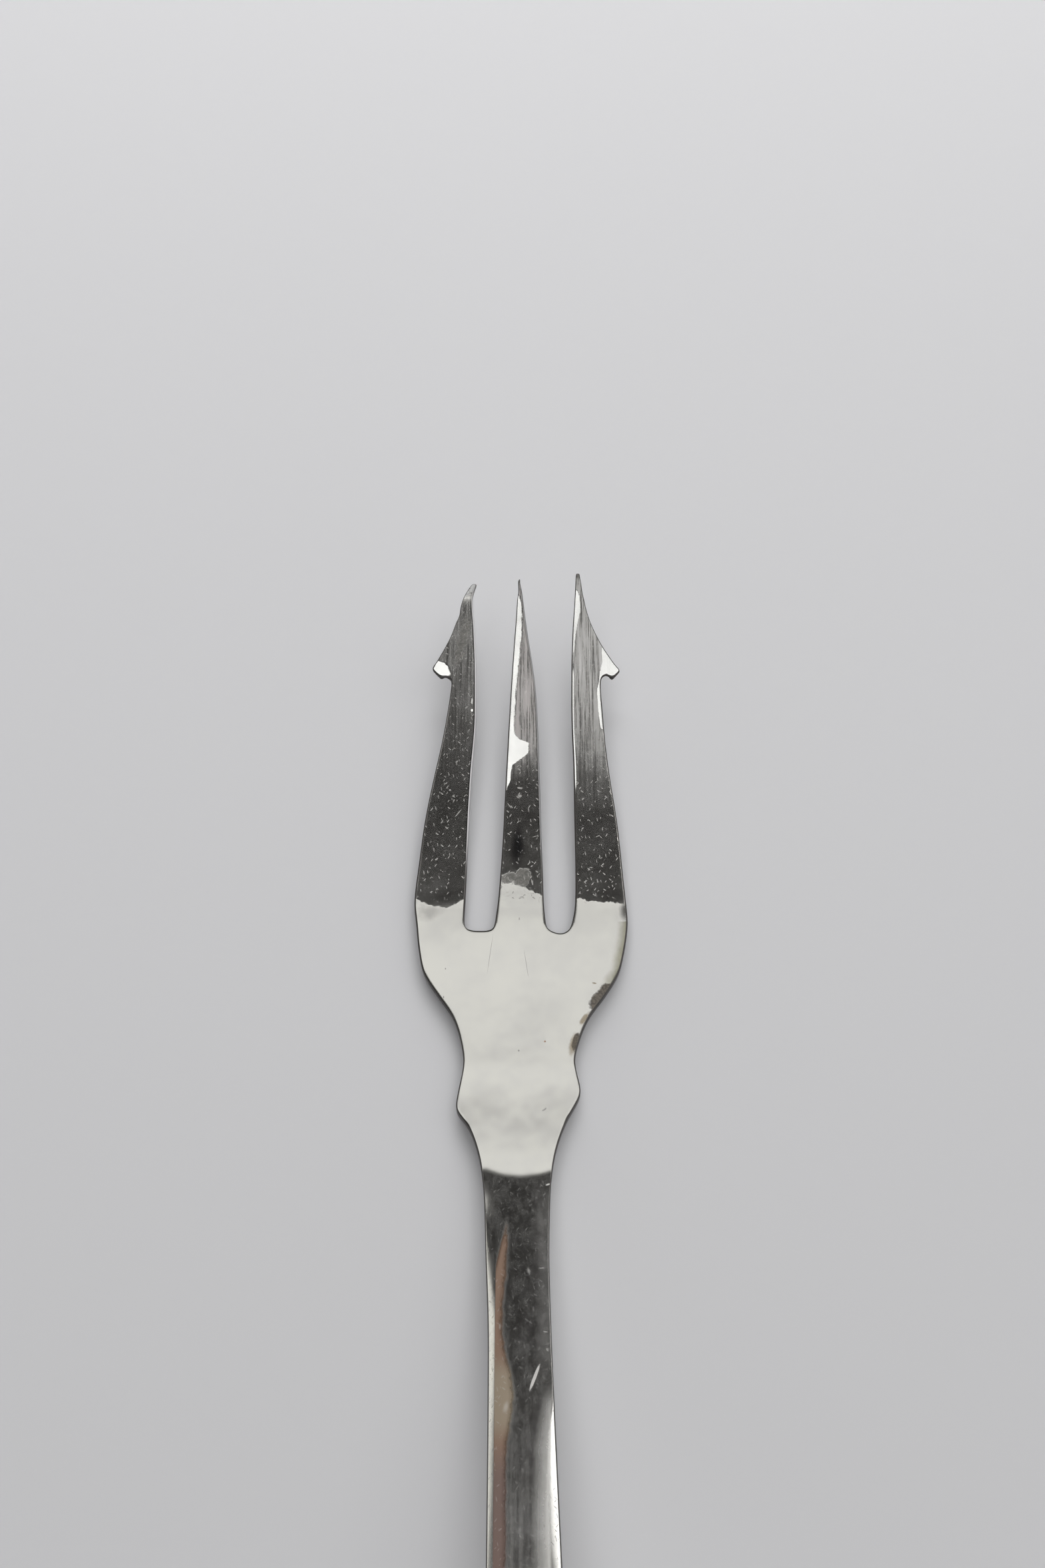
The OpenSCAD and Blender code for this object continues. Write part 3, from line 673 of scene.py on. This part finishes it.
def left_of(border, ragged=0.0):
    """How far a place lies to the left of a border, which a noise makes ragged."""
    return minus(plus(line_at(border), ragged), across)


def right_of(border, ragged=0.0):
    return minus(across, plus(line_at(border), ragged))


def band(low, high, soft):
    return times(ease(tree, up, low - soft, low + soft), ease(tree, up, high + soft, high - soft))


def own(name):
    node = tree.nodes.new("ShaderNodeAttribute")
    node.attribute_name = name
    return node.outputs["Fac"]


def stretched(*scale):
    return vector_calc(tree, "MULTIPLY", mm, scale)


# Noises: a ragged one for borders, one drawn out along the tines for brushing, fine grain.
wander = minus(grain(tree, mm, 1.1, 5.0, 0.65), 0.5)
lines = grain(tree, stretched(9, 0.2, 0.2), 1.0, 4.0, 0.65)
broad_lines = grain(tree, stretched(3.2, 0.12, 0.2), 1.0, 3.0, 0.6)
frayed = minus(grain(tree, stretched(5, 1.1, 1), 1.0, 4.0, 0.7), 0.5)
fine = grain(tree, mm, 5.0, 3.0, 0.7)
cloud = grain(tree, mm, 0.35, 4.0, 0.6)

# Zones. The palm's polish ends in a ragged line across the roots of the tines: hollow on
# the left one, aslant on the middle one. The upper tines are brushed lengthwise.
on_left = ease(tree, across, -3.2, -3.4)
on_right = ease(tree, across, 3.2, 3.4)
on_middle = minus(minus(1.0, on_left), on_right)
off_centre = plus(across, 7.3)
left_line = plus(2.35, times(off_centre, off_centre, 0.19))
right_line = minus(3.6, times(across, 0.095))
middle_line = minus(4.62, times(across, 0.62))
line_up = plus(times(on_left, left_line), times(on_right, right_line), times(on_middle, middle_line))
above_line = minus(plus(up, times(wander, 1.3)), line_up)
on_tines = times(ease(tree, above_line, -0.15, 0.15), on_top)

# Polished facets that throw the light back, with painted highlights: their colour is lifted to near
# white, and their normal leans towards the light. They are the left side of the middle tine with its
# patch, the inner edge and the barb of the right tine, the barb and bent tip of the left.
past_middle = left_of([
    (13.6, -1.7), (15.3, -1.12), (16.9, -0.9), (17.5, -0.1), (18.1, 0.55), (19.2, 0.6), (19.55, -0.2),
    (20, -0.62), (20.8, -0.77), (22.6, -0.69), (24.4, -0.58), (26.2, -0.41), (28.1, -0.25),
    (30, -0.08), (31.8, 0), (33.6, -0.06), (34.8, -0.3),
], plus(times(frayed, 0.45), 0.08))
softness = ease(tree, up, 20, 24, 0.1, 0.3)
middle_share = ease(tree, calc(tree, "DIVIDE", past_middle, softness), -0.5, 0.5)
middle_facet_highlight = times(on_middle, band(13.8, 34.7, 0.15), middle_share)
past_strip = left_of([
    (26.6, 4.72), (27.7, 4.88), (29, 5.02), (30.9, 5.27), (32.7, 5.6), (33.7, 5.68), (34.6, 5.6),
    (35.6, 5.2),
], times(frayed, 0.3))
right_strip_highlight = times(on_right, band(26.8, 35.3, 0.25), ease(tree, past_strip, -0.05, 0.06))
past_barb = right_of([
    (20, 7.7), (20.8, 7.4), (22.6, 7.2), (24.8, 7.14), (25.5, 7.34), (26.6, 7.42), (27.6, 7.66),
    (28.6, 7.62), (29.3, 7.7),
], times(frayed, 0.16))
right_barb_highlight = times(on_right, band(20.6, 29.2, 0.15), ease(tree, past_barb, -0.04, 0.05))
before_barb = left_of([
    (25.3, -7), (25.8, -6.78), (26.4, -6.55), (27.1, -6.78), (27.5, -7.2), (27.9, -8.2),
], times(frayed, 0.4))
left_barb_highlight = times(on_left, band(25.4, 27.8, 0.1), ease(tree, before_barb, -0.05, 0.3))
inner_share = times(ease(tree, own("bank"), 0.3, 0.2), ease(tree, own("bank"), 0.06, 0.1))
inner_highlight_line = times(on_right, band(14.5, 27, 1.2), inner_share)
# Painted highlight: a pale line along the left tine's outer edge, where its bevel catches the light.
outer_share = times(ease(tree, own("bank"), 0.2, 0.13), ease(tree, own("bank"), 0.03, 0.07))
outer_glint = times(on_left, band(13, 24, 1.5), outer_share)
tip_crinkle = ease(tree, grain(tree, stretched(1.2, 3.4, 1), 1.0, 2.0), 0.42, 0.52)
left_tip_highlight = times(on_left, ease(tree, up, 34.1, 35.2), plus(0.35, times(tip_crinkle, 0.65)))
# Painted glints: small near-white spots on the left and middle tines.
small_glints = marks(
    (-4.63, 22.55, 0.26, 0.4, 0, 0.4, 0.4),
    (-4.63, 23.5, 0.12, 0.9, 0, 0.5, 0.3),
    (-1.45, 14.6, 0.3, 0.9, 0, 0.4, 0.8, 4.0),
)
# Painted highlight: the colour of all these facets and glints is lifted to near white.
painted_highlights = times(on_top, any_of(
    middle_facet_highlight, right_strip_highlight, right_barb_highlight, left_barb_highlight, left_tip_highlight, inner_highlight_line,
    small_glints))

# How strongly each tine is brushed, more towards its tip.
brushed = plus(
    times(on_left, ease(tree, up, 12, 32, 0.0, 0.22)),
    times(on_middle, ease(tree, plus(up, times(wander, 3.0)), 14, 20.5, 0.0, 0.44)),
    times(on_right, ease(tree, plus(up, times(wander, 4.0)), 12, 26, 0.03, 0.54)))
brushed = times(brushed, ease(tree, up, 10, 14), on_top)
streaks = plus(
    ease(tree, lines, 0.32, 0.68, 0.25, 1.25), ease(tree, broad_lines, 0.35, 0.65, -0.12, 0.28))
haze = times(brushed, streaks)

# Scratches, thick on the tines and thin elsewhere.
dashes = any_of(
    scratches(32, 0.5, 2.0, 0.13), scratches(-48, 0.55, 1.8, 0.13), scratches(-12, 0.46, 2.2, 0.13),
    scratches(50, 1.3, 3.1, 0.08))
scratch_share = plus(ease(tree, up, 2.4, 4.0, 0.0, 0.55), ease(tree, up, -23.6, -24.2, 0.0, 0.2))
scratched = times(dashes, scratch_share, minus(1.0, painted_highlights))
speck_share = plus(ease(tree, up, 2.4, 4.0, 0.0, 1.0), ease(tree, up, -23.3, -24.0, 0.0, 0.5))
specks = times(ease(tree, fine, 0.5, 0.72), speck_share, minus(1.0, painted_highlights))
deep_scratches = times(marks(
    (-5.77, 11.93, 0.13, 1.2, 36, 0.4, 0.1),
    (-1.1, 12.7, 0.1, 0.8, -32, 0.4, 0.1),
    (-6.57, 14.3, 0.25, 0.25, 0, 0.4, 0.3),
    (-6.2, 13.2, 0.15, 0.5, 20, 0.5, 0.4),
    (1.27, 9.55, 0.65, 0.1, -18, 0.4, 0.1),
    (6.98, 9.58, 0.6, 0.1, -28, 0.4, 0.1),
    (6.33, 6.4, 0.4, 0.14, 10, 0.5, 0.5),
    (-0.12, 14.5, 0.7, 0.3, 10, 0.6, 1.0, 4.0),
    (-0.15, 13.7, 0.5, 0.5, 0, 0.6, 1.0, 4.0),
    (0.98, 4.95, 0.16, 0.95, -12, 0.5, 0.5),
), 0.8)

# Stains: brown tarnish at the right of the palm, a yellow edge, single spots, the dark
# smudge and the grey blotch on the middle tine, and grime up the left one.
smudge = mark(-0.35, 8.5, 1.7, 5.2, 4, 0.8, 0.6, 1.0)
brown = marks(
    (6.75, -6.95, 1.5, 2.4, 32, 0.3, 0.7, 2.6),
    (7.55, -6.0, 1.5, 1.6, 30, 0.3, 0.8, 2.6),
    (4.72, -11.0, 0.7, 2.1, 12, 0.35, 0.7, 2.4),
)
ochre = marks(
    (5.5, -8.75, 0.6, 1.7, 33, 0.6, 0.7, 2.0),
    (4.5, -11.2, 0.9, 2.8, 12, 0.8, 0.6, 1.2),
    (6.4, -5.3, 0.5, 0.2, 10, 0.7, 0.5),
)
at_right_edge = ease(tree, plus(own("gap"), times(wander, 0.5)), 1.1, 0.1)
yellow = times(times(on_top, ease(tree, across, 5.5, 7.0)), times(band(-5.6, 2.6, 1.2), at_right_edge))
# Painted shade: soft dark patches at the palm's two corners by the roots of the outer tines, where the
# palm's bright reflection gives way to the dark of the tines.
corner_shade = any_of(
    mark(9.3, 2.0, 1.3, 2.6, 0, 0.95, 0.5, 1.0),
    times(mark(-8.2, 1.9, 3.2, 2.4, -10, 0.95, 0.9, 1.3), 0.25))
dots = mark(2.05, -10.96, 0.22, 0.22, 0, 0.6, 0.3)
grey = marks(
    (1.97, -17.43, 0.55, 0.18, -40, 0.6, 0.3),
    (-0.21, -11.85, 0.2, 0.2, 0, 0.5, 0.3),
    (-6.77, -6.68, 0.14, 0.3, 0, 0.6, 0.3),
    (-8.1, -5.3, 0.3, 0.6, 30, 0.8, 0.6),
    (-6.66, -3.87, 0.14, 0.2, 0, 0.6, 0.3),
    (-0.17, 1.18, 0.12, 0.3, 0, 0.6, 0.3),
    (-2.75, -2.4, 0.05, 4.4, 7, 0.6, 0.1),
    (0.45, -3.4, 0.05, 3.2, -8, 0.6, 0.1),
)
grime = marks(
    (-5.6, 29.8, 1.5, 7.0, 10, 0.6, 1.2, 1.6),
    (0.1, 5.35, 1.6, 2.0, 20, 0.2, 0.8, 1.6),
    (-1.1, 5.35, 1.8, 1.2, -18, 0.4, 0.8, 1.6),
    (5.46, 36.75, 0.6, 0.8, 0, 0.5, 0.3),
)

# The handle: a copper-coloured stripe up its left side, a cream stretch in it, a wedge that
# brightens towards the white strip on its right side, nicks, and one long scratch.
past_stripe = left_of([
    (-75, -1.2), (-51.3, -1.28), (-47.4, -1.26), (-44.4, -0.84), (-43.3, -0.7), (-41.3, -0.94),
    (-39.2, -1.44), (-37, -1.65), (-34.8, -1.6), (-32.6, -1.34), (-30.3, -1.23), (-28.3, -1.35),
], times(wander, 0.5))
stripe_end = ease(tree, minus(up, times(across, 4.9)), -21.0, -23.5)
stripe_width = times(ease(tree, past_stripe, -0.45, 0.35), ease(tree, across, -2.08, -1.98))
orange = times(stripe_width, times(stripe_end, ease(tree, up, -72, -60)), on_top)
past_wedge = right_of([
    (-70, 0.9), (-55.1, 0.76), (-51.3, 0.77), (-47.4, 0.88), (-44.4, 1.25), (-42.3, 1.8), (-40, 2.2)])
left_of_strip = left_of([
    (-70, 1.9), (-55.1, 1.86), (-51.3, 1.8), (-47.4, 1.92), (-44.4, 1.99), (-42, 2.3)])
before_strip = ease(tree, left_of_strip, -0.42, -0.18)
wedge = times(times(past_wedge, 0.95), times(ease(tree, up, -41, -44.5), on_top))
wedge = times(calc(tree, "MINIMUM", any_of(wedge, 0.0), 1.0), before_strip)
nicks = any_of(
    mark(1.05, -41.58, 0.3, 2.75, 19.5, 0.35, 0.2),
    mark(2.21, -24.4, 0.5, 0.2, -20, 0.5, 0.3),
    times(marks(
        (-1.65, -37.2, 0.22, 0.8, 0, 0.6, 0.5),
        (1.64, -32.1, 0.6, 0.16, -8, 0.6, 0.4),
        (1.9, -37.7, 0.5, 0.16, 0, 0.6, 0.4),
        (2.05, -39.2, 0.3, 0.5, -20, 0.7, 0.6),
        (0.63, -32.4, 0.35, 0.9, -10, 0.9, 0.9),
        (-1.15, -44.0, 0.6, 1.3, 10, 0.9, 0.5),
    ), 0.4))

# Edges, in painted light and shade: a painted dark line runs round the outline, widest at the
# waist, and the right flanks of the left and middle tines show a pale slanting side, a painted
# reflection of the pale floor, with a painted dark line inside it.
outline_w = times(band(-23.8, -2.0, 1.5), 0.05)
# Painted shade: a dark line on the rounded edges and round the outline.
outline = ease(tree, own("gap"), plus(outline_w, 0.09), plus(outline_w, 0.02))
edge = any_of(ease(tree, own("rim"), 0.012, 0.1), outline)
flank_gap = own("flank")
flank_zone = times(band(8, 34.5, 3.0), plus(0.55, times(on_left, 0.45)))
# Painted reflection of the pale floor on the tines' right flanks.
pale_flank_reflection = times(ease(tree, flank_gap, 0.18, 0.13), flank_zone, ease(tree, facing_up, -0.1, 0.2))
# Painted shade: a dark line just inside the pale flank.
flank_shade_line = times(ease(tree, flank_gap, 0.27, 0.2), ease(tree, flank_gap, 0.13, 0.16), flank_zone)

# Colour: the clouded silver, and then each coat over it, from below up.
grainy = ease(tree, fine, 0.4, 0.6)
brushed_silver = blend(
    tree, times(on_middle, broad_lines), (0.56, 0.55, 0.54, 1), (0.60, 0.53, 0.53, 1))
grime_paint = blend(tree, grainy, (0.11, 0.107, 0.097, 1), (0.21, 0.203, 0.185, 1))
brown_paint = blend(tree, grainy, (0.06, 0.05, 0.037, 1), (0.15, 0.125, 0.095, 1))
stripe_paint = blend(tree, band(-46, -40.5, 1.2), (0.27, 0.18, 0.13, 1), (0.33, 0.27, 0.2, 1))
stripe_paint = blend(tree, ease(tree, up, -46, -50), stripe_paint, (0.2, 0.14, 0.12, 1))
# Colour of the painted reflection on the flanks.
flank_reflection_paint = blend(tree, on_left, (0.38, 0.38, 0.39, 1), (0.60, 0.59, 0.60, 1))
clouded = ease(tree, cloud, 0.3, 0.7)
colour = blend(tree, clouded, (0.603, 0.595, 0.566, 1), (0.627, 0.619, 0.599, 1))
for mask, paint in (
    (times(haze, 1.3), brushed_silver),
    # Painted highlight on the polished facets and glints.
    (painted_highlights, (0.97, 0.97, 0.96, 1)),
    (times(yellow, 0.8), (0.22, 0.21, 0.14, 1)),
    # Painted shade at the palm's corners.
    (corner_shade, (0.16, 0.155, 0.145, 1)),
    (times(ochre, 0.7), (0.34, 0.26, 0.15, 1)),
    (times(grime, 0.85), grime_paint),
    (ease(tree, orange, 0.0, 0.45), stripe_paint),
    (times(brown, 0.95), brown_paint),
    (times(dots, 0.8), (0.42, 0.20, 0.10, 1)),
    (times(grey, 0.6), (0.33, 0.32, 0.31, 1)),
    # Nicks and scratches, and the outer glint, which is a painted highlight, share one pale colour.
    (times(any_of(nicks, scratched, deep_scratches, outer_glint), 0.8), (0.72, 0.70, 0.67, 1)),
    (times(smudge, 0.85), (0.1, 0.1, 0.11, 1)),
    # Painted shade: the dark line on the rounded edges and beside the pale flanks.
    (any_of(edge, flank_shade_line), (0.045, 0.04, 0.036, 1)),
    # Painted reflection of the pale floor on the right flanks.
    (pale_flank_reflection, flank_reflection_paint),
):
    colour = blend(tree, mask, colour, paint)
wire(tree, colour, shader.inputs["Base Color"])

# Stains, scratches and brushing are matt, and let the light of the room show on them. So are most
# of the painted shade and highlights.
dull = any_of(*[times(mask, share) for mask, share in (
    (times(left_tip_highlight, on_top), 0.45), (brown, 0.85), (grime, 0.55), (orange, 0.8), (dots, 0.8),
    (nicks, 0.6), (scratched, 0.5), (grey, 0.5), (minus(haze, painted_highlights), 0.95), (edge, 0.7),
    (pale_flank_reflection, 0.9), (deep_scratches, 0.4), (outer_glint, 0.35), (wedge, 0.42), (ochre, 0.3),
    (corner_shade, 0.3),
)])
right_side = times(band(-42, -25, 3.0), ease(tree, across, 0.9, 1.8), 0.07)
low_end = times(ease(tree, up, -40, -57), ease(tree, broad_lines, 0.35, 0.65, 0.05, 0.13), before_strip)
neck_line = plus(-23.85, times(across, across, NECK_BOW))
behind_neck = ease(tree, minus(up, neck_line), 0.12, -0.12)
blotched = grain(tree, stretched(1.5, 0.7, 1), 1.0, 5.0, 0.7)
low_end = plus(low_end, times(behind_neck, before_strip, ease(tree, blotched, 0.36, 0.66, 0.0, 0.06)))
faint = plus(times(specks, 0.09), right_side, low_end)
dull = plus(dull, times(faint, times(minus(1.0, dull), on_top)))
wire(tree, minus(1.0, dull), shader.inputs["Metallic"])
rougher = times(plus(times(haze, 0.2), times(dull, 0.3)), minus(1.0, times(painted_highlights, 0.8)))
rough = plus(ease(tree, cloud, 0.3, 0.7, 0.11, 0.15), rougher)
wire(tree, rough, shader.inputs["Roughness"])

# Facets and relief. The normal leans along the fork, towards the tips where the share is
# positive, as far as each zone was filed, brushed or polished out of the fork's own curve.
kept_flat = times(minus(1.0, on_tines), ease(tree, up, 2.2, 4.0, 0.0, 0.055))
lean = plus(
    times(on_tines, ease(tree, up, 2.6, 4.6, -0.065, -0.03)),
    plus(times(kept_flat, on_top), times(behind_neck, 0.02)))
tip_bent = times(on_left, any_of(minus(up, 33.7), 0.0))
lean = plus(lean, times(painted_highlights, minus(ease(tree, up, 14, 26, 0.105, 0.13), times(tip_bent, 0.09))))
leaning = tree.nodes.new("ShaderNodeCombineXYZ")
wire(tree, lean, leaning.inputs[1])
tilted = vector_calc(tree, "ADD", surface.outputs["Normal"], leaning.outputs[0])
tilted = vector_calc(tree, "NORMALIZE", tilted)
relief = plus(
    times(lines, brushed, minus(1.0, times(painted_highlights, 0.8))), times(scratched, -0.25),
    plus(times(grime, 0.4), times(nicks, 0.12)))
bump = tree.nodes.new("ShaderNodeBump")
bump.inputs["Strength"].default_value = 0.5
bump.inputs["Distance"].default_value = 0.04 * MM
wire(tree, relief, bump.inputs["Height"])
wire(tree, tilted, bump.inputs["Normal"])
wire(tree, bump.outputs[0], shader.inputs["Normal"])

fork.data.materials.clear()
fork.data.materials.append(silver)
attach(fork, "root")
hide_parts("fork")

# The floor: a plain pale table top under the fork. It is matt, so that it shows the fork's
# shadow and no reflection.
bpy.ops.object.select_all(action="DESELECT")
bpy.ops.mesh.primitive_plane_add(size=3, location=(0, 0, 0))
floor = bpy.context.object
floor.name = "floor"
floor_paint = bpy.data.materials.new("floor_paint")
floor_paint.use_nodes = True
for label, value in (
    ("Base Color", (0.68, 0.68, 0.695, 1)), ("Roughness", 0.9), ("Specular IOR Level", 0.1),
):
    floor_paint.node_tree.nodes["Principled BSDF"].inputs[label].default_value = value
floor.data.materials.append(floor_paint)

# The light: soft boxes in a dark studio with a paler horizon. Each box stands in a direction
# given by its compass angle from beyond the tips towards the right, and by its height.
world = bpy.data.worlds.new("studio")
bpy.context.scene.world = world
world.use_nodes = True
sky = world.node_tree
direction = sky.nodes.new("ShaderNodeSeparateXYZ")
wire(sky, sky.nodes.new("ShaderNodeTexCoord").outputs["Generated"], direction.inputs[0])
paler = ease(sky, direction.outputs[2], 0.42, 0.2)
dark_sky, pale_sky = (0.043, 0.0415, 0.0405, 1), (0.5, 0.5, 0.5, 1)
wire(sky, blend(sky, paler, dark_sky, pale_sky), sky.nodes["Background"].inputs["Color"])


def softbox(name, compass, height, size, radiance, tint, mirrored, distance=1.5, at=(0, 0.03, 0)):
    """A rectangle of light, its width and height in degrees as seen from the fork."""
    a, e = math.radians(compass), math.radians(height)
    towards = Vector((math.sin(a) * math.cos(e), math.cos(a) * math.cos(e), math.sin(e)))
    bpy.ops.object.light_add(type="AREA", location=Vector(at) + towards * distance)
    box = bpy.context.object
    box.name = name
    box.rotation_euler = towards.to_track_quat("Z", "Y").to_euler()
    box.data.shape = "RECTANGLE"
    box.data.size, box.data.size_y = [2 * distance * math.tan(math.radians(s / 2)) for s in size]
    box.data.energy = radiance * math.pi * box.data.size * box.data.size_y
    box.data.color = tint
    box.visible_camera = False
    box.visible_glossy = mirrored
    box.visible_diffuse = not mirrored


# Boxes that the metal mirrors.
softbox("far_box", 0, 61, (60, 7.4), 1.12, (1, 1, 0.975), True)
softbox("right_box", 85, 48, (50, 36), 2.05, (1, 0.99, 0.97), True)
softbox("left_strip", -46, 31, (12, 12), 1.15, (1, 0.99, 0.93), True)
softbox("right_strip", 40, 38, (10, 9), 2.6, (1, 1, 0.99), True)
softbox("near_box", 180, 60, (60, 40), 2.6, (1, 1, 1), True)

# Boxes that light the floor and the dull places, and are not seen in the metal.
softbox("overhead", 180, 80, (60, 60), 1.02, (1, 1, 1), False)
softbox("day", 85, 45, (50, 40), 0.9, (1, 0.995, 0.985), False)
softbox("far_fill", 0, 40, (50, 50), 3.6, (1, 1, 1), False, 0.45, (0, 0.15, 0))
